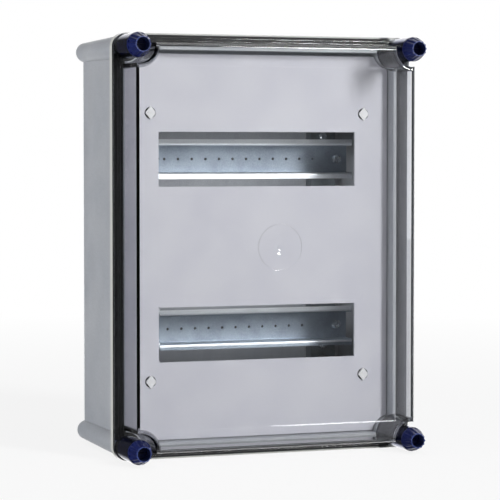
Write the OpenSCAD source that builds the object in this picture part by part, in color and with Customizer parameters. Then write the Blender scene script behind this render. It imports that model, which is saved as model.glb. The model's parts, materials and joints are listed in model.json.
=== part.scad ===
// Wall-mounted modular enclosure: a moulded base, a clear tray lid on a rubber gasket, and an insert of
// two carriers, two top-hat rails and a cover plate with two windows for modular devices.
// Every module is drawn lying on its back: x to the right, y up the wall, z forward from the wall.
// upright() then stands it up, so in the finished part +Z is up and the front faces -Y.

/* [Box] */
// Outside width at the front rim
box_w = 270; // [264:1:300]
// Outside height at the front rim
box_h = 360; // [352:1:400]
// Depth of the base, from the wall to the seam with the lid
base_depth = 125; // [118:1:150]
// Distance of each lid screw from the two edges next to it, and radius of the box's corners
corner_inset = 11.5; // [11:0.5:12.5]

/* [Base] */
// Depth of the thick rim round the mouth
rim_depth = 7; // [5:0.5:10]
// Width of the rim, from its outer edge to the mouth
rim_w = 13.3; // [12.5:0.1:14]
// Step from the rim's outer edge in to the wall
wall_step = 8.4; // [7.5:0.1:9]
// How far each wall leans in between the rim and the back
wall_draft = 1.2; // [0.5:0.1:2]
// Thickness of the back wall
back_t = 4; // [3:0.5:5]
// Radius of the corner columns under the rim
column_r_front = 10; // [9:0.1:10.5]
// Radius of the corner columns at the wall
column_r_back = 8.6; // [8:0.1:9]
// Radius of the rounding along the back edges of the walls and round the feet of the columns
back_edge_r = 4; // [2:0.5:5]
// Radius of the bosses inside the corners, at the rim
boss_r = 15; // [14:0.5:16]
// Sideways distance between the wall-fixing holes
fixing_dx = 200; // [180:5:210]
// Upright distance between the wall-fixing holes
fixing_dy = 300; // [290:5:304]
// Diameter of the wall-fixing holes
fixing_d = 7; // [5:0.5:8]

/* [Gasket] */
// Width of the gasket along the sides
gasket_w = 9.6; // [8:0.1:9.8]
// Height of the gasket in its groove
gasket_t = 3; // [2:0.5:4]

/* [Lid] */
// Height of the lid's face in front of the seam
lid_depth = 40; // [34:1:60]
// Wall thickness of the lid
lid_t = 3; // [2.5:0.1:3.5]
// Thickness of the lid's flange
flange_t = 4; // [3:0.5:5]
// Width of the flange outside the tray
flange_w = 8.5; // [8:0.1:9]
// How far the tray's sides lean in
tray_draft = 1.1; // [0.5:0.1:2]
// Radius of the tray's front edges
edge_r = 3; // [1.5:0.5:3]
// Radius of the hollows that the lid screws stand in
recess_r = 15; // [14.5:0.5:16]
// Radius of the hollow towers that carry the lid screws
tower_r = 10.5; // [10:0.1:11]

/* [Lid screws] */
// Length of the fluted head
head_l = 13; // [10:0.5:16]
// Radius of the head at its back
head_back_r = 10.3; // [9.5:0.1:11]
// Radius of the head at its front
head_front_r = 6.8; // [6.8:0.1:7.5]
// Radius of the socket
socket_r = 5.7; // [4.5:0.1:5.7]
// Number of grip flutes
flutes = 12; // [8:1:12]

/* [Cover plate] */
// Width of the cover plate
plate_w = 241.6; // [238:0.2:241.6]
// Height of the cover plate
plate_h = 329.6; // [326:0.2:329.6]
// Thickness of the cover plate
plate_t = 2.5; // [2:0.1:3]
// Depth of the plate's face behind the seam
plate_depth = 12.4; // [10:0.2:16]
// Module width that the windows are a multiple of
module_w = 18; // [17.5:0.5:18]
// Modules in each row
modules = 10; // [6:1:10]
// Height of each window
window_h = 47; // [45:0.5:48]
// Upright distance between the two rows
row_pitch = 150; // [125:5:150]
// Sideways distance between the plate screws
plate_screw_dx = 196; // [190:1:198]
// Upright distance between the plate screws
plate_screw_dy = 229; // [226:1:232]

/* [Rails] */
// Distance from the plate's face back to the rails' lips
device_depth = 45; // [43:0.5:50]
// Length of each rail
rail_l = 213; // [205:1:215]
// Width of a rail across its lips
rail_w = 35; // [35:35]
// Height of a rail's hat profile
rail_h = 15; // [7.5:7.5:15]
// Sheet thickness of the rails
rail_t = 1.5; // [1:0.1:1.5]
// Sideways distance between the two screws of a rail
rail_screw_dx = 193; // [190:1:196]
// Pitch of the punched centre holes
hole_pitch = 12.75; // [12.5:0.05:13]
// Diameter of the punched centre holes
hole_d = 2.6; // [2:0.1:3]

/* [Hidden] */

$fn = 72;
eps = 0.01;

// Axes of the lid screws
screw_x = box_w / 2 - corner_inset;
screw_y = box_h / 2 - corner_inset;

// Base
mouth_w = box_w - 2 * rim_w;
mouth_h = box_h - 2 * rim_w;
wall_w = box_w - 2 * wall_step;
wall_h = box_h - 2 * wall_step;
boss_draft = 1.2;
fixing_pad_r = 8;
fixing_pad_t = 3;
carrier_boss_r = 7;

// Gasket groove: a thin lip stays outside it, and the corner lands carry the inserts
outer_lip = 1.2;
inner_lip = rim_w - outer_lip - gasket_w;
land_r = 9;

// Lid
seam_gap = 0.2;
flange_top = base_depth + flange_t;
lid_top = base_depth + lid_depth;
tray_w = box_w - 2 * flange_w;
tray_h = box_h - 2 * flange_w;
tower_top = lid_top - 1.6;
tower_bore_r = 7.6;
bearing_t = 3;
flange_bead_r = 0.9;
flange_bead_places = [4, 6.6];
face_panel_inset = 19;
face_panel_step = 0.4;
face_panel_slope = 0.6;
face_z = lid_top + face_panel_step;
gate_ring_r = 19.5;
gate_ring_groove_r = 0.45;
gate_dimple_r = 6.3;
gate_dimple_depth = 0.8;
gate_tail_r = 3.6;
gate_tail_y = 5.4;
gate_pip_r = 1.5;
gate_pip_h = 0.5;

// Lid screws and inserts
shank_r = 7;
shank_clearance = 0.08;
shank_start = base_depth + 6;
bead_r = 7.4;
thread_r = 3;
thread_clearance = 0.05;
insert_r = 4.5;
insert_l = 13;
thread_reach = 16;
head_z = tower_top + 0.1;
collar_t = 1.5;
socket_depth = 12;
flute_r = 2.2;
flute_depth = 0.7;

// Insert: its centre hangs a little below the centre of the box
insert_drop = 1;
plate_back = base_depth - plate_depth - plate_t;
plate_face = base_depth - plate_depth;
window_w = modules * module_w;
plate_hole_r = 4.9;
notch_r = boss_r + 0.9;

// Quarter-turn plate screws
plate_head_w = 8.4;
plate_head_h = 11.2;
plate_head_t = 1.8;
plate_slot_w = 0.9;
plate_shank_r = 2.25;
lug_l = 7.6;
lug_t = 2;

// Rails
rail_front = plate_face - device_depth;
rail_back = rail_front - rail_h;
hat_w = 27;
bend_r = 0.8;
rail_hole_r = 2.6;
rail_screw_r = 2.5;
rail_screw_reach = 3;
rail_head_r = 4;
rail_head_t = 2.6;

// Carriers, spacers and posts
carrier_w = 24;
carrier_h = 244;
carrier_t = 2;
carrier_front = 19;
carrier_flange = 12;
carrier_x = plate_screw_dx / 2;
carrier_screw_dy = 192;
carrier_screw_r = 2;
carrier_screw_l = 12;
carrier_head_r = 3.8;
carrier_head_t = 2.4;
spacer_r = 6;
post_r = 6.5;
post_wall = 4;
post_foot_r = 8.5;
post_foot_h = 6;
post_room_r = 4.2;
post_room_l = 7;
spigot_r = 3;

module upright() rotate([90, 0, 0]) children();

module at_corners(dx, dy) for (sx = [-1, 1], sy = [-1, 1]) translate([sx * dx, sy * dy, 0]) children();

module in_each_corner() for (sx = [0, 1], sy = [0, 1]) mirror([sx, 0, 0]) mirror([0, sy, 0]) children();

module rounded_rect(w, h, r) {
    square([w - 2 * r, h], center = true);
    square([w, h - 2 * r], center = true);
    at_corners(w / 2 - r, h / 2 - r) circle(r);
}

// A block whose four sides lean: w0 by h0 at height z0, and w1 by h1 at height z1
module tapered_block(w0, h0, w1, h1, z0, z1) {
    intersection() {
        rotate([90, 0, 0])
            linear_extrude(2 * max(h0, h1), center = true)
                polygon([[-w0 / 2, z0], [w0 / 2, z0], [w1 / 2, z1], [-w1 / 2, z1]]);
        rotate([90, 0, 90])
            linear_extrude(2 * max(w0, w1), center = true)
                polygon([[-h0 / 2, z0], [h0 / 2, z0], [h1 / 2, z1], [-h1 / 2, z1]]);
    }
}

// ---- Base ----

// What is cut away from a sharp edge to leave a quarter round of radius r
module edge_profile(r) {
    difference() {
        square(r + 1);
        circle(r);
    }
}

// The four walls, with round edges at the back
module base_walls(wall_top) {
    lean = wall_draft * (1 - back_edge_r / wall_top);
    difference() {
        tapered_block(wall_w - 2 * wall_draft, wall_h - 2 * wall_draft, wall_w, wall_h, 0, wall_top + eps);
        for (side = [0, 1]) {
            mirror([side, 0, 0]) translate([wall_w / 2 - lean - back_edge_r, 0, back_edge_r])
                rotate([-90, 0, 0]) linear_extrude(box_h, center = true) edge_profile(back_edge_r);
            mirror([0, side, 0]) translate([0, wall_h / 2 - lean - back_edge_r, back_edge_r])
                rotate([-90, 0, 90]) linear_extrude(box_w, center = true) edge_profile(back_edge_r);
        }
    }
}

// A corner column with a round foot
module column(wall_top) {
    foot_flat_r = column_r_back - back_edge_r;
    rotate_extrude() intersection() {
        union() {
            square([foot_flat_r, back_edge_r + eps]);
            translate([foot_flat_r, back_edge_r]) circle(back_edge_r);
        }
        square([column_r_back, back_edge_r + eps]);
    }
    translate([0, 0, back_edge_r])
        cylinder(h = wall_top - back_edge_r + eps, r1 = column_r_back, r2 = column_r_front);
}

module base_outside() {
    wall_top = base_depth - rim_depth;
    base_walls(wall_top);
    at_corners(screw_x, screw_y) column(wall_top);
    translate([0, 0, wall_top]) linear_extrude(rim_depth) rounded_rect(box_w, box_h, corner_inset);
}

module base_hollow() {
    difference() {
        tapered_block(mouth_w - 2 * wall_draft, mouth_h - 2 * wall_draft, mouth_w, mouth_h,
            back_t, base_depth + eps);
        at_corners(screw_x, screw_y)
            cylinder(h = base_depth + 1, r1 = boss_r + boss_draft, r2 = boss_r);
    }
}

// Outline of the gasket: narrow round the corner bosses, and open at the lands of the lid screws
module gasket_outline() {
    difference() {
        rounded_rect(box_w - 2 * outer_lip, box_h - 2 * outer_lip, corner_inset - outer_lip);
        difference() {
            square([mouth_w + 2 * inner_lip, mouth_h + 2 * inner_lip], center = true);
            at_corners(screw_x, screw_y) circle(boss_r - inner_lip);
        }
        in_each_corner() translate([screw_x, screw_y]) {
            circle(land_r);
            translate([-land_r * 0.66, -land_r * 0.66]) square(3 * land_r);
        }
    }
}

module enclosure_base() {
    color("#a9adac") upright() difference() {
        union() {
            difference() {
                base_outside();
                base_hollow();
            }
            at_corners(fixing_dx / 2, fixing_dy / 2)
                translate([0, 0, back_t - eps]) cylinder(h = fixing_pad_t + eps, r = fixing_pad_r);
            translate([0, -insert_drop, back_t - eps]) at_corners(carrier_x, carrier_screw_dy / 2)
                cylinder(h = carrier_front - carrier_t - back_t + eps, r = carrier_boss_r);
        }
        translate([0, 0, base_depth - gasket_t]) linear_extrude(gasket_t + 1) gasket_outline();
        at_corners(fixing_dx / 2, fixing_dy / 2)
            translate([0, 0, -1]) cylinder(h = back_t + fixing_pad_t + 2, d = fixing_d);
        translate([0, -insert_drop, back_t + 1]) at_corners(carrier_x, carrier_screw_dy / 2)
            cylinder(h = carrier_front, r = carrier_screw_r + 0.1);
        at_corners(screw_x, screw_y) {
            translate([0, 0, base_depth - insert_l]) cylinder(h = insert_l + 1, r = insert_r);
            translate([0, 0, base_depth - thread_reach - 4]) cylinder(h = thread_reach, r = thread_r + 0.4);
        }
    }
}

module lid_gasket() {
    rib_w = 0.8;
    color("#1d1f20") upright() difference() {
        translate([0, 0, base_depth - gasket_t]) linear_extrude(gasket_t + seam_gap) gasket_outline();
        for (side = [-1, 1], place = [1, 2]) {
            rib_x = mouth_w / 2 + inner_lip + gasket_w * place / 3;
            rib_y = mouth_h / 2 + inner_lip + gasket_w * place / 3;
            translate([side * rib_x, 0, base_depth + seam_gap])
                cube([rib_w, box_h, 2 * rib_w], center = true);
            translate([0, side * rib_y, base_depth + seam_gap])
                cube([box_w, rib_w, 2 * rib_w], center = true);
        }
    }
}

// ---- Lid ----

module tray_outside() {
    shoulder = lid_top - edge_r;
    top_w = tray_w - 2 * tray_draft;
    top_h = tray_h - 2 * tray_draft;
    tapered_block(tray_w, tray_h, top_w, top_h, flange_top - 1, shoulder + eps);
    translate([-top_w / 2, -top_h / 2, shoulder]) cube([top_w, top_h, edge_r]);
}

module tray_inside() {
    difference() {
        tapered_block(tray_w - 2 * lid_t, tray_h - 2 * lid_t,
            tray_w - 2 * tray_draft - 2 * lid_t, tray_h - 2 * tray_draft - 2 * lid_t,
            base_depth - 1, lid_top - lid_t);
        at_corners(screw_x, screw_y)
            translate([0, 0, base_depth - 2]) cylinder(h = lid_depth + 4, r = recess_r + lid_t);
    }
}

module front_edge_rounding() {
    top_w = tray_w - 2 * tray_draft;
    top_h = tray_h - 2 * tray_draft;
    for (side = [0, 1]) {
        mirror([side, 0, 0]) translate([top_w / 2 - edge_r, 0, lid_top - edge_r])
            rotate([90, 0, 0]) linear_extrude(box_h, center = true) edge_profile(edge_r);
        mirror([0, side, 0]) translate([0, top_h / 2 - edge_r, lid_top - edge_r])
            rotate([90, 0, 90]) linear_extrude(box_w, center = true) edge_profile(edge_r);
    }
    at_corners(screw_x, screw_y) translate([0, 0, lid_top - edge_r]) rotate_extrude()
        translate([recess_r + edge_r, 0]) mirror([1, 0]) edge_profile(edge_r);
}

// Two round beads along each side of the flange; they end inside the towers
module flange_beads() {
    for (side = [-1, 1], place = flange_bead_places) {
        translate([side * (box_w / 2 - place), 0, flange_top])
            rotate([90, 0, 0]) cylinder(h = 2 * screw_y - 12, r = flange_bead_r, center = true, $fn = 24);
        translate([0, side * (box_h / 2 - place), flange_top])
            rotate([0, 90, 0]) cylinder(h = 2 * screw_x - 12, r = flange_bead_r, center = true, $fn = 24);
    }
}

// The mark that the hot nozzle leaves on the face: a ring, a dimple with a tail above it, and a pip
module gate_mark_cut() {
    dimple_ball_r = (pow(gate_dimple_r, 2) + pow(gate_dimple_depth, 2)) / (2 * gate_dimple_depth);
    translate([0, 0, face_z]) {
        rotate_extrude() translate([gate_ring_r, 0]) circle(gate_ring_groove_r, $fn = 24);
        difference() {
            union() {
                translate([0, 0, dimple_ball_r - gate_dimple_depth]) sphere(dimple_ball_r);
                translate([0, gate_tail_y, gate_tail_r - gate_dimple_depth / 2]) sphere(gate_tail_r);
            }
            translate([0, 0, -2]) cylinder(h = 2 + gate_pip_h - gate_dimple_depth, r = gate_pip_r, $fn = 36);
        }
    }
}

module lid() {
    panel_w = tray_w - 2 * tray_draft - 2 * face_panel_inset;
    panel_h = tray_h - 2 * tray_draft - 2 * face_panel_inset;
    color("#c9d3da", 0.35) upright() difference() {
        union() {
            translate([0, 0, base_depth + seam_gap]) linear_extrude(flange_t - seam_gap)
                rounded_rect(box_w, box_h, corner_inset);
            flange_beads();
            difference() {
                tray_outside();
                at_corners(screw_x, screw_y)
                    translate([0, 0, flange_top]) cylinder(h = lid_depth, r = recess_r);
                front_edge_rounding();
            }
            tapered_block(panel_w + 2 * face_panel_slope, panel_h + 2 * face_panel_slope, panel_w, panel_h,
                lid_top - eps, face_z);
            at_corners(screw_x, screw_y)
                translate([0, 0, flange_top - eps]) cylinder(h = tower_top - flange_top + eps, r = tower_r);
        }
        gate_mark_cut();
        tray_inside();
        at_corners(screw_x, screw_y) {
            translate([0, 0, base_depth]) cylinder(h = lid_depth, r = shank_r + shank_clearance);
            translate([0, 0, base_depth]) cylinder(h = tower_top - bearing_t - base_depth, r = tower_bore_r);
        }
    }
}

// ---- Lid screws ----

module lid_screw(sx, sy) {
    cone_l = head_l - collar_t;
    slant = atan((head_back_r - head_front_r) / cone_l);
    thread_z = base_depth - thread_reach;
    color("#25306b") upright() translate([sx * screw_x, sy * screw_y, 0]) difference() {
        union() {
            translate([0, 0, head_z]) cylinder(h = collar_t, r = head_back_r);
            translate([0, 0, head_z + collar_t]) cylinder(h = cone_l, r1 = head_back_r, r2 = head_front_r);
            translate([0, 0, shank_start]) cylinder(h = head_z - shank_start + eps, r = shank_r);
            translate([0, 0, shank_start - 3]) cylinder(h = 3 + eps, r1 = thread_r + 1, r2 = shank_r);
            translate([0, 0, tower_top - bearing_t - 1.2]) cylinder(h = 1, r = bead_r);
            translate([0, 0, thread_z]) cylinder(h = shank_start - thread_z, r = thread_r);
        }
        translate([0, 0, head_z + head_l - socket_depth]) cylinder(h = socket_depth + 1, r = socket_r);
        translate([-socket_r - 1, -0.6, head_z + head_l - socket_depth - 1.5])
            cube([2 * socket_r + 2, 1.2, 2]);
        for (i = [0 : flutes - 1]) rotate([0, 0, (i + 0.5) * 360 / flutes])
            translate([head_back_r, 0, head_z + collar_t]) rotate([0, -slant, 0])
                translate([flute_r - flute_depth, 0, 0.6]) cylinder(h = head_l + 6, r = flute_r);
    }
}

module screw_insert(sx, sy) {
    color("#c9a24a") upright() translate([sx * screw_x, sy * screw_y, base_depth - insert_l]) difference() {
        cylinder(h = insert_l - 0.5, r = insert_r - 0.02);
        translate([0, 0, -1]) cylinder(h = insert_l + 2, r = thread_r + thread_clearance);
        for (z = [4, 8.5]) translate([0, 0, z]) rotate_extrude() translate([insert_r - 0.5, 0]) square([1, 1]);
    }
}

// ---- Cover plate and its quarter-turn screws ----

module cover_plate() {
    color("#c6c6d0") upright() translate([0, -insert_drop, plate_back]) difference() {
        linear_extrude(plate_t) difference() {
            rounded_rect(plate_w, plate_h, 2);
            for (side = [-1, 1]) translate([0, side * row_pitch / 2])
                square([window_w, window_h], center = true);
            translate([0, insert_drop]) at_corners(screw_x, screw_y) circle(notch_r);
        }
        at_corners(plate_screw_dx / 2, plate_screw_dy / 2)
            translate([0, 0, -1]) cylinder(h = plate_t + 2, r = plate_hole_r);
    }
}

// The head's two long tips hold the plate; the lugs at the far end lock behind the post's front wall
module plate_screw(sx, sy) {
    head_z0 = plate_t + 0.1;
    lug_z = -post_wall - 0.4 - lug_t;
    tip_w = 0.8;
    color("#e4e4e6") upright()
        translate([sx * plate_screw_dx / 2, sy * plate_screw_dy / 2 - insert_drop, plate_back]) {
            difference() {
                translate([0, 0, head_z0]) linear_extrude(plate_head_t) polygon([
                    [0, -plate_head_h / 2], [plate_head_w / 2, -tip_w], [plate_head_w / 2, tip_w],
                    [0, plate_head_h / 2], [-plate_head_w / 2, tip_w], [-plate_head_w / 2, -tip_w]]);
                translate([0, 0, head_z0 + plate_head_t])
                    cube([plate_head_w + 1, plate_slot_w, plate_head_t], center = true);
            }
            translate([0, 0, lug_z]) cylinder(h = head_z0 - lug_z + eps, r = plate_shank_r);
            translate([-lug_l / 2, -lug_t / 2, lug_z]) cube([lug_l, lug_t, lug_t]);
        }
}

// ---- Rails ----

// A quarter ring of sheet about (x, y), turned to the quadrant that starts at the given angle
module sheet_bend(x, y, quadrant) {
    translate([x, y]) rotate(quadrant) intersection() {
        difference() {
            circle(bend_r + rail_t);
            circle(bend_r);
        }
        square(bend_r + rail_t);
    }
}

// Half of the top-hat profile: half the web, a side wall and a lip, joined by two bends
module half_hat() {
    inner = hat_w / 2 - rail_t;
    turn = bend_r + rail_t;
    square([inner - bend_r, rail_t]);
    sheet_bend(inner - bend_r, turn, -90);
    translate([inner, turn]) square([rail_t, rail_h - 2 * turn]);
    sheet_bend(inner + turn, rail_h - turn, 90);
    translate([inner + turn, rail_h - rail_t]) square([rail_w / 2 - inner - turn, rail_t]);
}

module hat_profile() {
    half_hat();
    mirror([1, 0]) half_hat();
}

// The centre holes are cut from long stock, so the row's middle can lie off the rail's middle
module din_rail(side, holes, hole_shift) {
    color("#b6c0c8") upright() translate([0, side * row_pitch / 2 - insert_drop, rail_back]) difference() {
        rotate([90, 0, 90]) linear_extrude(rail_l, center = true) hat_profile();
        for (i = [0 : holes - 1])
            translate([hole_shift + (i - (holes - 1) / 2) * hole_pitch, 0, -1])
                cylinder(h = rail_t + 2, d = hole_d, $fn = 24);
        for (x = [-1, 1]) translate([x * rail_screw_dx / 2, 0, -1]) cylinder(h = rail_t + 2, r = rail_hole_r);
    }
}

// A pan-head machine screw with a cross recess; its head rests at z = 0 and its shank points down
module pan_screw(head_r, head_t, shank_r, shank_l) {
    difference() {
        union() {
            cylinder(h = head_t * 0.6, r = head_r);
            translate([0, 0, head_t * 0.6 - eps]) cylinder(h = head_t * 0.4, r1 = head_r, r2 = head_r * 0.72);
            translate([0, 0, -shank_l]) cylinder(h = shank_l + eps, r = shank_r);
        }
        for (turn = [0, 90]) rotate([0, 0, turn]) translate([0, 0, head_t])
            cube([head_r * 1.1, head_r * 0.25, head_t], center = true);
    }
}

module rail_screw(sx, sy) {
    color("#dfe3e6") upright()
        translate([sx * rail_screw_dx / 2, sy * row_pitch / 2 - insert_drop, rail_back + rail_t])
            pan_screw(rail_head_r, rail_head_t, rail_screw_r,
                rail_back + rail_t - carrier_front + carrier_t + rail_screw_reach);
}

module rail_spacer(sx, sy) {
    color("#3a3d40") upright()
        translate([sx * rail_screw_dx / 2, sy * row_pitch / 2 - insert_drop, carrier_front]) difference() {
            cylinder(h = rail_back - carrier_front, r = spacer_r);
            translate([0, 0, -1]) cylinder(h = rail_back, r = rail_hole_r);
        }
}

// ---- Carriers and posts ----

module carrier(side) {
    web = carrier_front - carrier_t;
    rail_x = rail_screw_dx / 2 - carrier_x;
    color("#aab2b8") upright() translate([side * carrier_x, -insert_drop, 0]) difference() {
        union() {
            translate([-carrier_w / 2, -carrier_h / 2, web]) cube([carrier_w, carrier_h, carrier_t]);
            for (x = [-carrier_w / 2, carrier_w / 2 - carrier_t])
                translate([x, -carrier_h / 2, carrier_front - carrier_flange])
                    cube([carrier_t, carrier_h, carrier_flange]);
        }
        for (sy = [-1, 1]) translate([0, 0, web - 1]) {
            translate([side * rail_x, sy * row_pitch / 2, 0]) cylinder(h = carrier_t + 2, r = rail_hole_r);
            translate([0, sy * carrier_screw_dy / 2, 0]) cylinder(h = carrier_t + 2, r = carrier_screw_r + 0.1);
            translate([0, sy * plate_screw_dy / 2, 0]) cylinder(h = carrier_t + 2, r = spigot_r + 0.05);
        }
    }
}

module carrier_screw(sx, sy) {
    color("#dfe3e6") upright()
        translate([sx * carrier_x, sy * carrier_screw_dy / 2 - insert_drop, carrier_front])
            pan_screw(carrier_head_r, carrier_head_t, carrier_screw_r, carrier_screw_l);
}

// A post with a keyhole in its front wall: the screw's lugs pass it upright and lock across it
module plate_post(sx, sy) {
    post_l = plate_back - carrier_front;
    color("#d4d6d8") upright()
        translate([sx * plate_screw_dx / 2, sy * plate_screw_dy / 2 - insert_drop, carrier_front]) difference() {
            union() {
                cylinder(h = post_l, r = post_r);
                cylinder(h = post_foot_h, r = post_foot_r);
                translate([0, 0, -carrier_t - 2]) cylinder(h = carrier_t + 2 + eps, r = spigot_r);
            }
            translate([0, 0, post_l - post_wall - 1]) cylinder(h = post_wall + 2, r = plate_shank_r + 0.05);
            translate([-lug_t / 2 - 0.3, -lug_l / 2 - 0.3, post_l - post_wall - 1])
                cube([lug_t + 0.6, lug_l + 0.6, post_wall + 2]);
            translate([0, 0, post_l - post_wall - post_room_l]) cylinder(h = post_room_l, r = post_room_r);
        }
}

enclosure_base();
lid();
lid_gasket();
lid_screw(-1, 1);  // lid_screw_top_left
lid_screw(1, 1);  // lid_screw_top_right
lid_screw(-1, -1);  // lid_screw_bottom_left
lid_screw(1, -1);  // lid_screw_bottom_right
screw_insert(-1, 1);  // screw_insert_top_left
screw_insert(1, 1);  // screw_insert_top_right
screw_insert(-1, -1);  // screw_insert_bottom_left
screw_insert(1, -1);  // screw_insert_bottom_right
cover_plate();
plate_screw(-1, 1);  // plate_screw_top_left
plate_screw(1, 1);  // plate_screw_top_right
plate_screw(-1, -1);  // plate_screw_bottom_left
plate_screw(1, -1);  // plate_screw_bottom_right
din_rail(1, 12, 3.5);  // din_rail_upper
din_rail(-1, 11, 0);  // din_rail_lower
rail_screw(-1, 1);  // rail_screw_upper_left
rail_screw(1, 1);  // rail_screw_upper_right
rail_screw(-1, -1);  // rail_screw_lower_left
rail_screw(1, -1);  // rail_screw_lower_right
rail_spacer(-1, 1);  // rail_spacer_upper_left
rail_spacer(1, 1);  // rail_spacer_upper_right
rail_spacer(-1, -1);  // rail_spacer_lower_left
rail_spacer(1, -1);  // rail_spacer_lower_right
plate_post(-1, 1);  // plate_post_top_left
plate_post(1, 1);  // plate_post_top_right
plate_post(-1, -1);  // plate_post_bottom_left
plate_post(1, -1);  // plate_post_bottom_right
carrier(-1);  // carrier_left
carrier(1);  // carrier_right
carrier_screw(-1, 1);  // carrier_screw_upper_left
carrier_screw(1, 1);  // carrier_screw_upper_right
carrier_screw(-1, -1);  // carrier_screw_lower_left
carrier_screw(1, -1);  // carrier_screw_lower_right
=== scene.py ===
# %% [markdown]
# A wall enclosure for rail-mounted devices: a pressed polyester base, a clear lid on a rubber gasket,
# four blue screws and, behind the lid, a cover plate with two windows over two steel rails.
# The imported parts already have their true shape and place. What is left for Blender is the finish of
# each surface, the camera and the light.

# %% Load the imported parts
import json
import math
import bpy
from mathutils import Matrix, Vector


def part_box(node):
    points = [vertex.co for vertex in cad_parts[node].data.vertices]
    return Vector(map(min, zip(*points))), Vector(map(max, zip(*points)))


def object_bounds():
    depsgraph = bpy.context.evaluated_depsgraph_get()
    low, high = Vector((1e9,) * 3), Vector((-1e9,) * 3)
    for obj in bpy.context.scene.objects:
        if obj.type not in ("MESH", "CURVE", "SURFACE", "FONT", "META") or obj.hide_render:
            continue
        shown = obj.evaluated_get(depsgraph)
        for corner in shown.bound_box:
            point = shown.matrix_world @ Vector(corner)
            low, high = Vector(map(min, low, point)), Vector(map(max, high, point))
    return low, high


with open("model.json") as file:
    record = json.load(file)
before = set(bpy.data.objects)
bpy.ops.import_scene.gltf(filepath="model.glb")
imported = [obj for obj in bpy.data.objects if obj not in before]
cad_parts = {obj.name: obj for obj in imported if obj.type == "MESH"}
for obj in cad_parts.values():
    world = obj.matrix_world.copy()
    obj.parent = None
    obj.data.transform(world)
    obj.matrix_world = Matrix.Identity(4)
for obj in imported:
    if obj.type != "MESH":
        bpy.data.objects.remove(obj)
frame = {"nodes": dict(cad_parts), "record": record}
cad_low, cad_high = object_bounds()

MM = 0.001
nodes = frame["nodes"]
scene = bpy.context.scene
print("parts:", len(nodes), "size in mm:", [round((b - a) / MM, 1) for a, b in zip(cad_low, cad_high)])

# %% [markdown]
# Colours are written as sRGB hex, the way a colour card or a paint program gives them. The renderer
# works in linear light, so one function turns them over.
# A mask says where on a piece a tint belongs. It multiplies edges, and each edge is a ramp along one
# measure, such as the depth: `above` a limit or `below` it.

# %% Colour and node helpers
def linear(hex_colour):
    values = [int(hex_colour[i:i + 2], 16) / 255 for i in (1, 3, 5)]
    return tuple(v / 12.92 if v <= 0.04045 else ((v + 0.055) / 1.055) ** 2.4 for v in values) + (1.0,)


def add(tree, kind, inputs=None, ramp=(), **settings):
    """Add one node. Inputs are values or sockets to link from, ramp is the position and colour of
    each stop of a colour ramp, and settings are the node's own properties."""
    node = tree.nodes.new(kind)
    for name, value in settings.items():
        setattr(node, name, value)
    for name, value in (inputs or {}).items():
        if isinstance(value, bpy.types.NodeSocket):
            tree.links.new(value, node.inputs[name])
        else:
            node.inputs[name].default_value = value
    for index, (position, hex_colour) in enumerate(ramp):
        stop = node.color_ramp.elements[index]
        stop.position, stop.color = position, linear(hex_colour)
    return node


def new_material(name):
    material = bpy.data.materials.new(name)
    material.use_nodes = True
    material.node_tree.nodes.clear()
    tree = material.node_tree
    place = add(tree, "ShaderNodeTexCoord").outputs["Object"]
    return material, tree, place


def per_metre(size_mm):
    """Scale of a pattern whose features are size_mm wide, for coordinates in metres."""
    return 1 / (size_mm * MM)


def above(value, limit_mm, fade_mm):
    """The edge of a mask that is full from limit_mm up, after a ramp fade_mm wide."""
    return value, (limit_mm - fade_mm) * MM, limit_mm * MM


def below(value, limit_mm, fade_mm):
    """The edge of a mask that is full from limit_mm down."""
    return value, (limit_mm + fade_mm) * MM, limit_mm * MM


def mask(tree, *edges):
    """1 inside every edge and 0 outside any of them."""
    inside = 1.0
    for value, start, end in edges:
        inside = add(tree, "ShaderNodeMapRange", {
            "Value": value, "From Min": start, "From Max": end, "To Max": inside}).outputs["Result"]
    return inside


def largest(tree, first, *others):
    """The largest of some masks, levels or light-path flags, so 1 where any of the masks is 1."""
    for other in others:
        first = add(tree, "ShaderNodeMath", {0: first, 1: other}, operation="MAXIMUM").outputs["Value"]
    return first


def tinted(tree, colour, *tints):
    """Lay each tint, a mask and a colour, over what is there so far."""
    for where, hex_colour in tints:
        colour = add(tree, "ShaderNodeMixRGB", {
            "Fac": where, "Color1": colour, "Color2": linear(hex_colour)}).outputs["Color"]
    return colour


finishes = {}
print("grey card:", [round(v, 3) for v in linear("#808080")])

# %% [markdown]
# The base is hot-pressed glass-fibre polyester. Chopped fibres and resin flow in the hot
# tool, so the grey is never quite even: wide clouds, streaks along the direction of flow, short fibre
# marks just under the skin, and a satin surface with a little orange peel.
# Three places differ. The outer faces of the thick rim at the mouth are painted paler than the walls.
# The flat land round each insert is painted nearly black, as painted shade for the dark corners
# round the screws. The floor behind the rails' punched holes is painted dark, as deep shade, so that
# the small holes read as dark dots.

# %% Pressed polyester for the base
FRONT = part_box("enclosure_base")[0][1] / MM
BACK = cad_high[1] / MM
HALF_W, HALF_H = cad_high[0] / MM, cad_high[2] / MM
SCREW_INSET = 11.5
RIM_BACK = FRONT + 6.6
RIM_SKIN = 1.2
SHADE_LAND_R, SHADE_LAND_BACK = 10.2, FRONT + 1.0
RIM_R = 11.1
RAIL_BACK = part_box("din_rail_upper")[1][1] / MM
SHADE_LOW, SHADE_HIGH, SHADE_HALF_W = 67, 83, 88


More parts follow.
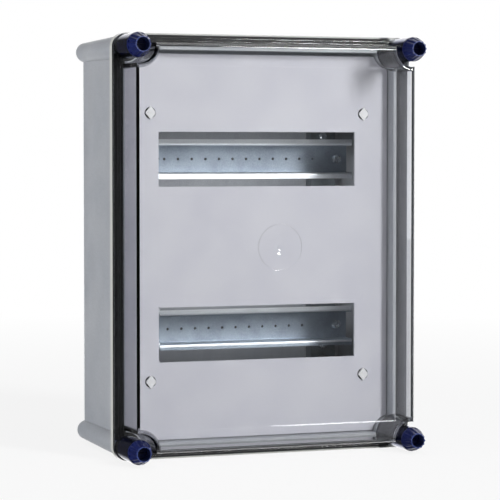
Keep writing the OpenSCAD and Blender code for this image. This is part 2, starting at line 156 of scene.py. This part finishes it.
def box_places(tree, place):
    """Depth along Y, distance from the middle across and up, and from the nearest lid screw's axis."""
    axes = add(tree, "ShaderNodeSeparateXYZ", {"Vector": place})
    across = add(tree, "ShaderNodeMath", {0: axes.outputs["X"]}, operation="ABSOLUTE").outputs["Value"]
    up = add(tree, "ShaderNodeMath", {0: axes.outputs["Z"]}, operation="ABSOLUTE").outputs["Value"]
    sides = add(tree, "ShaderNodeCombineXYZ", {"X": across, "Y": up})
    screw_axis = ((HALF_W - SCREW_INSET) * MM, (HALF_H - SCREW_INSET) * MM, 0.0)
    from_axis = add(tree, "ShaderNodeVectorMath", {0: sides.outputs["Vector"], 1: screw_axis},
                    operation="SUBTRACT")
    from_screw = add(tree, "ShaderNodeVectorMath", {0: from_axis.outputs["Vector"]}, operation="LENGTH")
    return axes.outputs["Y"], across, up, from_screw.outputs["Value"]


def pressed_polyester():
    material, tree, place = new_material("pressed_glass_fibre_polyester")
    clouds = add(tree, "ShaderNodeTexNoise", {"Vector": place, "Scale": per_metre(60), "Detail": 3.0})
    tone = add(tree, "ShaderNodeValToRGB", {"Fac": clouds.outputs["Fac"]},
               ramp=((0.3, "#9DA1A8"), (0.7, "#AAADB2")))
    flow_place = add(tree, "ShaderNodeMapping", {"Vector": place, "Scale": (1.0, 1.0, 0.14)})
    flow = add(tree, "ShaderNodeTexNoise", {
        "Vector": flow_place.outputs["Vector"], "Scale": per_metre(7), "Detail": 3.0,
        "Distortion": 0.6})
    flow_tone = add(tree, "ShaderNodeMapRange", {
        "Value": flow.outputs["Fac"], "From Min": 0.3, "From Max": 0.7, "To Min": 0.95, "To Max": 1.05})
    fibre_place = add(tree, "ShaderNodeMapping", {
        "Vector": place, "Scale": (1.0, 0.35, 1.0), "Rotation": (0.4, 0.3, 0.9)})
    fibres = add(tree, "ShaderNodeTexNoise", {
        "Vector": fibre_place.outputs["Vector"], "Scale": per_metre(1.8), "Detail": 2.0,
        "Distortion": 1.5})
    fibre_tone = add(tree, "ShaderNodeMapRange", {
        "Value": fibres.outputs["Fac"], "From Min": 0.35, "From Max": 0.65,
        "To Min": 0.96, "To Max": 1.04})
    marks = add(tree, "ShaderNodeMath", {
        0: flow_tone.outputs["Result"], 1: fibre_tone.outputs["Result"]}, operation="MULTIPLY")
    skin = add(tree, "ShaderNodeVectorMath", {0: tone.outputs["Color"], 1: marks.outputs["Value"]},
               operation="MULTIPLY")
    depth, across, up, from_screw = box_places(tree, place)
    at_rim = below(depth, RIM_BACK, 1.0)
    # The outer faces of the rim at the mouth are painted paler.
    side_faces = mask(tree, at_rim, above(across, HALF_W - RIM_SKIN, 0.3))
    end_faces = mask(tree, at_rim, above(up, HALF_H - RIM_SKIN, 0.3))
    corner_faces = mask(tree, at_rim, above(across, HALF_W - SCREW_INSET + 0.1, 0.1),
                        above(up, HALF_H - SCREW_INSET + 0.1, 0.1), above(from_screw, RIM_R, 0.2))
    paler_rim_faces = largest(tree, side_faces, end_faces, corner_faces)
    # The flat land round each insert is painted nearly black: painted shade.
    painted_shade_land = mask(tree, below(depth, SHADE_LAND_BACK, 0.5), below(from_screw, SHADE_LAND_R, 0.4))
    shade = mask(tree, above(depth, RAIL_BACK + 2.0, 1.0), below(depth, BACK - 2.0, 0.5),
                 above(up, SHADE_LOW, 1.0), below(up, SHADE_HIGH, 1.0),
                 below(across, SHADE_HALF_W, 1.0))
    colour = tinted(tree, skin.outputs["Vector"],
                    (paler_rim_faces, "#C6C7C3"), (painted_shade_land, "#1D1F20"), (shade, "#3A3C3F"))
    roughness = add(tree, "ShaderNodeMapRange", {
        "Value": flow.outputs["Fac"], "From Min": 0.3, "From Max": 0.7, "To Min": 0.36, "To Max": 0.48})
    peel = add(tree, "ShaderNodeTexNoise", {"Vector": place, "Scale": per_metre(1.6), "Detail": 2.0})
    bump = add(tree, "ShaderNodeBump", {
        "Height": peel.outputs["Fac"], "Strength": 0.25, "Distance": 0.05 * MM})
    shader = add(tree, "ShaderNodeBsdfPrincipled", {
        "Base Color": colour, "Roughness": roughness.outputs["Result"], "IOR": 1.53,
        "Normal": bump.outputs["Normal"]})
    add(tree, "ShaderNodeOutputMaterial", {"Surface": shader.outputs["BSDF"]})
    return material


finishes["grp_base"] = pressed_polyester()
print("made", finishes["grp_base"].name)

# %% [markdown]
# The lid is clear polycarbonate, injection moulded: refractive index 1.585, polished tool, so almost
# no roughness, with slow flow waves in the surface and a frozen drop at the gate in the middle. Thick
# and doubled walls look darker than thin ones, so the side walls, corner hollows and side flanges are
# painted grey, as painted shade and painted reflection, and the screw towers a bluish grey, as a
# painted reflection of the blue screws inside them.
# Real glass-like shading would keep lamp light out of the box, because the renderer doesn't focus
# lamps through thick glass well. So rays on their way to a lamp, and diffuse light, pass straight
# through, and only sight and mirror rays are bent.

# %% Clear polycarbonate for the lid
LID_FACE = FRONT - 36.5
SIDE_WALL_W = 12.4
HOLLOW_IN_R, HOLLOW_OUT_R = 14.0, 18.6
TOWER_R, TOWER_BACK = 11.0, FRONT - 6.0
FLANGE_W, FLANGE_FRONT = 8.4, FRONT - 4.1
DROP_R, DROP_SQUASH = 6.0, 0.62


def clear_polycarbonate():
    material, tree, place = new_material("clear_moulded_polycarbonate")
    flow = add(tree, "ShaderNodeTexNoise", {"Vector": place, "Scale": per_metre(45), "Detail": 1.0})
    haze = add(tree, "ShaderNodeMapRange", {
        "Value": flow.outputs["Fac"], "From Min": 0.3, "From Max": 0.7, "To Min": 0.0, "To Max": 0.015})
    depth, across, _, from_screw = box_places(tree, place)
    side_wall = mask(tree, above(across, HALF_W - SIDE_WALL_W, 0.6), above(depth, LID_FACE, 1.0))
    hollow = mask(tree, above(from_screw, HOLLOW_IN_R, 1.0), below(from_screw, HOLLOW_OUT_R, 0.6),
                  above(depth, LID_FACE - 1.0, 1.0))
    tower = mask(tree, below(from_screw, TOWER_R, 0.4), below(depth, TOWER_BACK, 0.8))
    side_flange = mask(tree, above(depth, FLANGE_FRONT, 0.5), above(across, HALF_W - FLANGE_W, 0.6))
    # The grey of the side walls, hollows and flanges is painted shade and reflection, and the towers'
    # bluish grey is a painted reflection of the blue screws.
    colour = tinted(tree, linear("#FDFEFE"), (side_wall, "#CDCED3"), (hollow, "#94959A"),
                    (tower, "#5E637E"), (side_flange, "#7E8185"))
    waves = add(tree, "ShaderNodeBump", {
        "Height": flow.outputs["Fac"], "Strength": 0.1, "Distance": 0.15 * MM})
    from_gate = add(tree, "ShaderNodeMapping", {"Vector": place, "Scale": (1.0, 0.0, DROP_SQUASH)})
    gate_distance = add(tree, "ShaderNodeVectorMath", {0: from_gate.outputs["Vector"]},
                        operation="LENGTH")
    in_drop = mask(tree, below(gate_distance.outputs["Value"], DROP_R, 2.5))
    ripples = add(tree, "ShaderNodeTexNoise", {"Vector": place, "Scale": per_metre(5.5), "Detail": 1.0})
    height = add(tree, "ShaderNodeMath", {0: ripples.outputs["Fac"], 1: in_drop}, operation="MULTIPLY")
    drop = add(tree, "ShaderNodeBump", {
        "Height": height.outputs["Value"], "Strength": 1.0, "Distance": 0.45 * MM,
        "Normal": waves.outputs["Normal"]})
    glass = add(tree, "ShaderNodeBsdfPrincipled", {
        "Base Color": colour, "Roughness": haze.outputs["Result"], "IOR": 1.585,
        "Transmission Weight": 1.0, "Normal": drop.outputs["Normal"]})
    clear = add(tree, "ShaderNodeBsdfTransparent", {"Color": linear("#FAFAFA")})
    path = add(tree, "ShaderNodeLightPath")
    straight = largest(tree, path.outputs["Is Shadow Ray"], path.outputs["Is Diffuse Ray"])
    both = add(tree, "ShaderNodeMixShader", {
        0: straight, 1: glass.outputs["BSDF"], 2: clear.outputs["BSDF"]})
    add(tree, "ShaderNodeOutputMaterial", {"Surface": both.outputs["Shader"]})
    return material


finishes["clear_polycarbonate"] = clear_polycarbonate()
print("made", finishes["clear_polycarbonate"].name)

# %% [markdown]
# The gasket is extruded EPDM rubber: nearly black, matt, with a fine grain along its length.

# %% EPDM rubber for the gasket
def epdm_rubber():
    material, tree, place = new_material("extruded_epdm_rubber")
    grain = add(tree, "ShaderNodeTexNoise", {"Vector": place, "Scale": per_metre(0.8), "Detail": 2.0})
    tone = add(tree, "ShaderNodeValToRGB", {"Fac": grain.outputs["Fac"]},
               ramp=((0.0, "#161718"), (1.0, "#2A2C2D")))
    bump = add(tree, "ShaderNodeBump", {
        "Height": grain.outputs["Fac"], "Strength": 0.3, "Distance": 0.1 * MM})
    shader = add(tree, "ShaderNodeBsdfPrincipled", {
        "Base Color": tone.outputs["Color"], "Roughness": 0.7, "Normal": bump.outputs["Normal"]})
    add(tree, "ShaderNodeOutputMaterial", {"Surface": shader.outputs["BSDF"]})
    return material


finishes["gasket_rubber"] = epdm_rubber()
print("made", finishes["gasket_rubber"].name)

# %% [markdown]
# The moulded plastics differ in colour, gloss and the grain of their tools, so one function makes
# them: slow colour drift from the melt, a fine grain as bump, and a roughness that follows the grain.

# %% Moulded plastics
def moulded_plastic(name, dark, light, roughness, grain_mm, grain_depth_mm, ior):
    material, tree, place = new_material(name)
    drift = add(tree, "ShaderNodeTexNoise", {"Vector": place, "Scale": per_metre(35), "Detail": 2.0})
    tone = add(tree, "ShaderNodeValToRGB", {"Fac": drift.outputs["Fac"]},
               ramp=((0.3, dark), (0.7, light)))
    grain = add(tree, "ShaderNodeTexNoise", {
        "Vector": place, "Scale": per_metre(grain_mm), "Detail": 2.0})
    gloss = add(tree, "ShaderNodeMapRange", {
        "Value": grain.outputs["Fac"], "From Min": 0.3, "From Max": 0.7,
        "To Min": roughness - 0.04, "To Max": roughness + 0.04})
    bump = add(tree, "ShaderNodeBump", {
        "Height": grain.outputs["Fac"], "Strength": 0.4, "Distance": grain_depth_mm * MM})
    shader = add(tree, "ShaderNodeBsdfPrincipled", {
        "Base Color": tone.outputs["Color"], "Roughness": gloss.outputs["Result"], "IOR": ior,
        "Normal": bump.outputs["Normal"]})
    add(tree, "ShaderNodeOutputMaterial", {"Surface": shader.outputs["BSDF"]})
    return material


for slot_name, settings in {
    "plate_plastic": ("pale_grey_abs", "#C3C3CD", "#CBCBD3", 0.42, 0.7, 0.02, 1.54),
    "fastener_plastic": ("white_polyamide", "#E2E2E4", "#ECECEE", 0.35, 0.6, 0.02, 1.53),
    "post_plastic": ("black_polyamide", "#1C1C1F", "#2A2A2E", 0.45, 0.8, 0.03, 1.53),
    "spacer_plastic": ("dark_polyamide", "#2B2D2F", "#3A3C3F", 0.5, 0.8, 0.03, 1.53),
}.items():
    finishes[slot_name] = moulded_plastic(*settings)
    print("made", finishes[slot_name].name)

# %% [markdown]
# The lid screws are glass-filled polyamide dyed navy blue. The ring round the socket is painted
# lighter, as a painted highlight, and the deep socket is painted nearly black, as painted shade.

# %% Blue polyamide for the lid screws
HEAD_BACK = FRONT - 41.0
SOCKET_R = 5.7
RING_W = 0.5


def blue_polyamide():
    material, tree, place = new_material("blue_glass_filled_polyamide")
    drift = add(tree, "ShaderNodeTexNoise", {"Vector": place, "Scale": per_metre(9), "Detail": 3.0})
    tone = add(tree, "ShaderNodeValToRGB", {"Fac": drift.outputs["Fac"]},
               ramp=((0.35, "#101848"), (0.65, "#19235A")))
    depth, _, _, from_screw = box_places(tree, place)
    on_head = below(depth, HEAD_BACK, 1.0)
    # The lighter ring round the socket is a painted highlight.
    ring = mask(tree, on_head, above(from_screw, SOCKET_R, 0.2),
                below(from_screw, SOCKET_R + RING_W, 0.4))
    # The socket's near black is painted shade.
    socket = mask(tree, on_head, below(from_screw, SOCKET_R - 0.04, 0.06))
    colour = tinted(tree, tone.outputs["Color"], (ring, "#3B4A86"), (socket, "#07080F"))
    grain = add(tree, "ShaderNodeTexNoise", {"Vector": place, "Scale": per_metre(0.7), "Detail": 2.0})
    gloss = add(tree, "ShaderNodeMapRange", {
        "Value": grain.outputs["Fac"], "From Min": 0.3, "From Max": 0.7,
        "To Min": 0.26, "To Max": 0.36})
    bump = add(tree, "ShaderNodeBump", {
        "Height": grain.outputs["Fac"], "Strength": 0.4, "Distance": 0.04 * MM})
    shader = add(tree, "ShaderNodeBsdfPrincipled", {
        "Base Color": colour, "Roughness": gloss.outputs["Result"], "IOR": 1.53,
        "Normal": bump.outputs["Normal"]})
    add(tree, "ShaderNodeOutputMaterial", {"Surface": shader.outputs["BSDF"]})
    return material


finishes["blue_polyamide"] = blue_polyamide()
print("made", finishes["blue_polyamide"].name)

# %% [markdown]
# Zinc-plated steel sheet. The blue passivate on top of the zinc scatters about a third of the light,
# so the sheet looks pale and milky rather than like a mirror: metallic is 0.65. The plating dries in
# soft clouds with fine crystals in them, and the rolled sheet under it leaves fine lines along the
# rail. The two lips of each rail are painted brighter than the web between them, as a painted
# highlight.

# %% Zinc-plated steel
LIP_W = 5.0
LIP_HIGHLIGHT = "#E9EDF1"
X_AXIS, Y_AXIS, Z_AXIS = 0, 1, 2


def rail_lips(tree, place):
    """The front of each rail's lips: the whole upper one and a stripe on the lower one."""
    axes = add(tree, "ShaderNodeSeparateXYZ", {"Vector": place})
    lips = []
    for rail in ("din_rail_upper", "din_rail_lower"):
        low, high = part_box(rail)
        front, bottom, top = low[1] / MM, low[2] / MM, high[2] / MM
        at_front = below(axes.outputs["Y"], front + 1.6, 0.4)
        upper = mask(tree, at_front, above(axes.outputs["Z"], top - LIP_W + 0.4, 0.4))
        lower = mask(tree, at_front, above(axes.outputs["Z"], bottom + LIP_W / 2 + 0.3, 0.6),
                     below(axes.outputs["Z"], bottom + LIP_W - 0.8, 0.2))
        lips += [upper, lower]
    return largest(tree, *lips)


def zinc_plated_steel(name, rolling_axis, dark, light, smooth, rough):
    material, tree, place = new_material(name)
    clouds = add(tree, "ShaderNodeTexNoise", {"Vector": place, "Scale": per_metre(16), "Detail": 3.0})
    crystals = add(tree, "ShaderNodeTexVoronoi", {"Vector": place, "Scale": per_metre(1.6)})
    crystal_tone = add(tree, "ShaderNodeMapRange", {
        "Value": crystals.outputs["Distance"], "From Min": 0.0, "From Max": 0.9,
        "To Min": -0.14, "To Max": 0.14})
    mottle = add(tree, "ShaderNodeMath", {
        0: clouds.outputs["Fac"], 1: crystal_tone.outputs["Result"]}, operation="ADD")
    tone = add(tree, "ShaderNodeValToRGB", {"Fac": mottle.outputs["Value"]},
               ramp=((0.3, dark), (0.7, light)))
    # The rails' lips are painted brighter: a painted highlight.
    colour = tinted(tree, tone.outputs["Color"], (rail_lips(tree, place), LIP_HIGHLIGHT))
    stretch = [1.0, 1.0, 1.0]
    stretch[rolling_axis] = 0.02
    lines_place = add(tree, "ShaderNodeMapping", {"Vector": place, "Scale": stretch})
    lines = add(tree, "ShaderNodeTexNoise", {
        "Vector": lines_place.outputs["Vector"], "Scale": per_metre(0.5), "Detail": 2.0})
    roughness = add(tree, "ShaderNodeMapRange", {
        "Value": mottle.outputs["Value"], "From Min": 0.3, "From Max": 0.7,
        "To Min": smooth, "To Max": rough})
    bump = add(tree, "ShaderNodeBump", {
        "Height": lines.outputs["Fac"], "Strength": 0.3, "Distance": 0.02 * MM})
    shader = add(tree, "ShaderNodeBsdfPrincipled", {
        "Base Color": colour, "Roughness": roughness.outputs["Result"], "Metallic": 0.65,
        "Normal": bump.outputs["Normal"]})
    add(tree, "ShaderNodeOutputMaterial", {"Surface": shader.outputs["BSDF"]})
    return material


finishes["screw_steel"] = zinc_plated_steel(
    "zinc_plated_screw_steel", Y_AXIS, "#BDC7CE", "#E1E6EA", 0.2, 0.3)
rail_steel = zinc_plated_steel(
    "zinc_plated_rail_steel", X_AXIS, "#909BA8", "#A6B1BD", 0.42, 0.56)
# The carriers get a darker grey than the rails: painted shade.
shaded_carrier_steel = zinc_plated_steel(
    "zinc_plated_carrier_steel", Z_AXIS, "#6F767B", "#858C90", 0.42, 0.56)
print("made", finishes["screw_steel"].name, rail_steel.name, shaded_carrier_steel.name)

# %% [markdown]
# The inserts are turned brass: a warm metal with fine turning rings.

# %% Turned brass
def turned_brass():
    material, tree, place = new_material("turned_brass")
    rings = add(tree, "ShaderNodeTexNoise", {"Vector": place, "Scale": per_metre(0.6), "Detail": 1.0})
    roughness = add(tree, "ShaderNodeMapRange", {
        "Value": rings.outputs["Fac"], "To Min": 0.2, "To Max": 0.4})
    tone = add(tree, "ShaderNodeValToRGB", {"Fac": rings.outputs["Fac"]},
               ramp=((0.0, "#C29A48"), (1.0, "#E3C67E")))
    shader = add(tree, "ShaderNodeBsdfPrincipled", {
        "Base Color": tone.outputs["Color"], "Roughness": roughness.outputs["Result"], "Metallic": 1.0})
    add(tree, "ShaderNodeOutputMaterial", {"Surface": shader.outputs["BSDF"]})
    return material


finishes["brass"] = turned_brass()
print("made", finishes["brass"].name)

# %% [markdown]
# Each record slot names one finish, and the nodes of that slot get it. Only the sheet steel has two:
# the rails were rolled along X and the carriers along Z, so the sheet's fine lines follow them. The
# carriers' copy is also painted a darker grey, as painted shade.

# %% Give every node its material
slot_of = {part["node"]: part["material_slot"] for part in frame["record"]["subparts"]}
for name, part in nodes.items():
    if slot_of[name] == "zinc_plated_steel":
        material = rail_steel if "rail" in name else shaded_carrier_steel
    else:
        material = finishes[slot_of[name]]
    for slot in part.material_slots:
        slot.material = material
print("materials:", sorted({part.material_slots[0].material.name for part in nodes.values()}))

# %% [markdown]
# The box is shown the way a maker's catalogue shows it: from a little left of the front and a little
# above the middle, with a long lens so that upright edges stay upright.

# %% Camera
SENSOR_MM, LENS_MM = 36.0, 156.2
YAW, PITCH = math.radians(20.14), math.radians(2.61)
CAMERA_FROM_MIDDLE = Vector((-0.6531, -1.7482, 0.081))
middle = Vector((0.0, FRONT * MM, 0.0))

camera_data = bpy.data.cameras.new("camera")
camera_data.sensor_width = SENSOR_MM
camera_data.lens = LENS_MM
camera_data.clip_end = 20.0
camera = bpy.data.objects.new("camera", camera_data)
scene.collection.objects.link(camera)
forward = Vector((math.sin(YAW) * math.cos(PITCH), math.cos(YAW) * math.cos(PITCH), -math.sin(PITCH)))
right = Vector((math.cos(YAW), -math.sin(YAW), 0.0))
turn = Matrix((right, right.cross(forward), -forward)).transposed().to_4x4()
camera.matrix_world = Matrix.Translation(middle + CAMERA_FROM_MIDDLE) @ turn
scene.camera = camera
print("camera distance:", round((camera.location - middle).length, 3), "m")

# %% [markdown]
# A white sweep lies under the box. Seen by the camera it is mostly its own white, so the picture has a
# white ground, and the rest is real shading, so the box keeps a soft shadow. Sight that only passes
# through the clear lid sees the same white. Mirror rays don't see the sweep at all.

# %% Floor
FLOOR_HALF = 4.0
NEAR, FAR = 0.4, 1.5
GLOW_NEAR, GLOW_FAR = 0.85, 1.0
floor_z = cad_low[2]


def paper_white():
    material, tree, place = new_material("white_paper_sweep")
    tooth = add(tree, "ShaderNodeTexNoise", {"Vector": place, "Scale": per_metre(3), "Detail": 2.0})
    tone = add(tree, "ShaderNodeValToRGB", {"Fac": tooth.outputs["Fac"]},
               ramp=((0.0, "#F2F2F2"), (1.0, "#F6F6F6")))
    paper = add(tree, "ShaderNodeBsdfDiffuse", {"Color": tone.outputs["Color"]})
    glow = add(tree, "ShaderNodeEmission", {"Color": linear("#FFFFFF"), "Strength": 1.0})
    distance = add(tree, "ShaderNodeVectorMath", {0: place}, operation="LENGTH")
    share = add(tree, "ShaderNodeMapRange", {
        "Value": distance.outputs["Value"], "From Min": NEAR, "From Max": FAR,
        "To Min": GLOW_NEAR, "To Max": GLOW_FAR})
    path = add(tree, "ShaderNodeLightPath")
    in_sight = largest(tree, path.outputs["Is Camera Ray"], path.outputs["Is Transmission Ray"])
    glow_share = add(tree, "ShaderNodeMath", {0: in_sight, 1: share.outputs["Result"]},
                     operation="MULTIPLY")
    sweep = add(tree, "ShaderNodeMixShader", {
        0: glow_share.outputs["Value"], 1: paper.outputs["BSDF"], 2: glow.outputs["Emission"]})
    nothing = add(tree, "ShaderNodeBsdfTransparent")
    mirrored = add(tree, "ShaderNodeMath", {
        0: path.outputs["Is Glossy Ray"], 1: path.outputs["Glossy Depth"]}, operation="MINIMUM")
    both = add(tree, "ShaderNodeMixShader", {
        0: mirrored.outputs["Value"], 1: sweep.outputs["Shader"], 2: nothing.outputs["BSDF"]})
    add(tree, "ShaderNodeOutputMaterial", {"Surface": both.outputs["Shader"]})
    return material


floor_mesh = bpy.data.meshes.new("floor")
floor_mesh.from_pydata([
    (-FLOOR_HALF, -FLOOR_HALF, floor_z), (FLOOR_HALF, -FLOOR_HALF, floor_z),
    (FLOOR_HALF, FLOOR_HALF, floor_z), (-FLOOR_HALF, FLOOR_HALF, floor_z)], [], [(0, 1, 2, 3)])
floor = bpy.data.objects.new("floor", floor_mesh)
scene.collection.objects.link(floor)
floor_mesh.materials.append(paper_white())
print("floor at", round(floor_z / MM, 1), "mm")

# %% [markdown]
# A soft box on the right is the main light: it throws the shadow of each window's right edge on to
# the rail behind it. One on the left lights the base's side, and one above the top. A small one inside
# the box stands for the light that its pale walls scatter back and forth. The one on the left is
# hidden from rays that are bent or mirrored, so its own shape doesn't show in the lid.
# The room differs by direction. Mirror rays that go back and to the right meet bright white, and
# those that go left or forward meet the dark part of the studio, so the clear lid gets its crisp dark
# lines. Sight that passes through the lid with no mirroring meets a little more than white, so the
# lid looks clear from all sides. The camera sees plain white, and matt surfaces a dim pale room.

# %% Light
def soft_box(name, size, place, target, watts):
    data = bpy.data.lights.new(name, "AREA")
    data.shape = "RECTANGLE"
    data.size, data.size_y = size
    data.energy = watts
    lamp = bpy.data.objects.new(name, data)
    lamp.location = place
    lamp.rotation_euler = (Vector(target) - Vector(place)).to_track_quat("-Z", "Y").to_euler()
    scene.collection.objects.link(lamp)
    return lamp


soft_box("key_right", (0.8, 1.6), (1.86, -3.81, 1.79), middle, 142)
side_lamp = soft_box("side_left", (0.7, 0.3), (-1.5, -0.05, -0.2), middle, 29)
side_lamp.visible_transmission = side_lamp.visible_glossy = False
soft_box("top_light", (1.6, 1.0), (0.0, -0.4, 1.8), middle, 3)
soft_box("inside", (0.15, 0.06), (0.0, -0.1, 0.0), (0.0, 0.0, 0.0), 0.12)

ROOM_LEVEL = 0.3
SIDE_FADE = 0.15
FRONT_ENDS, BACK_STARTS = -0.3, 0.15
MIRROR_DARK, MIRROR_FRONT, MIRROR_BACK = 0.06, 0.12, 1.4
THROUGH_LEVEL = 1.3

world = bpy.data.worlds.new("studio")
scene.world = world
world.use_nodes = True
sky = world.node_tree
sky.nodes.clear()
direction = add(sky, "ShaderNodeTexCoord").outputs["Generated"]
facing = add(sky, "ShaderNodeSeparateXYZ", {"Vector": direction})
to_right = add(sky, "ShaderNodeMapRange", {
    "Value": facing.outputs["X"], "From Min": -SIDE_FADE, "From Max": SIDE_FADE})
to_back = add(sky, "ShaderNodeMapRange", {
    "Value": facing.outputs["Y"], "From Min": FRONT_ENDS, "From Max": BACK_STARTS,
    "To Min": MIRROR_FRONT, "To Max": MIRROR_BACK})
by_direction = add(sky, "ShaderNodeMath", {
    0: to_right.outputs["Result"], 1: to_back.outputs["Result"]}, operation="MULTIPLY")
path = add(sky, "ShaderNodeLightPath")
not_mirrored = add(sky, "ShaderNodeMath", {0: path.outputs["Glossy Depth"], 1: 0.5},
                   operation="LESS_THAN")
seen_through = add(sky, "ShaderNodeMath", {0: not_mirrored.outputs["Value"], 1: THROUGH_LEVEL},
                   operation="MULTIPLY")
level = largest(sky, by_direction.outputs["Value"], MIRROR_DARK, seen_through.outputs["Value"])
white = linear("#FFFFFF")
room = add(sky, "ShaderNodeBackground", {"Color": linear("#F4F5F7"), "Strength": ROOM_LEVEL})
mirrored_or_bent = add(sky, "ShaderNodeBackground", {"Color": white, "Strength": level})
backdrop = add(sky, "ShaderNodeBackground", {"Color": white, "Strength": 1.0})
off_a_surface = largest(sky, path.outputs["Is Glossy Ray"], path.outputs["Is Transmission Ray"])
indirect = add(sky, "ShaderNodeMixShader", {
    0: off_a_surface, 1: room.outputs["Background"], 2: mirrored_or_bent.outputs["Background"]})
all_rays = add(sky, "ShaderNodeMixShader", {
    0: path.outputs["Is Camera Ray"], 1: indirect.outputs["Shader"],
    2: backdrop.outputs["Background"]})
add(sky, "ShaderNodeOutputWorld", {"Surface": all_rays.outputs["Shader"]})
scene.view_settings.view_transform = "Standard"
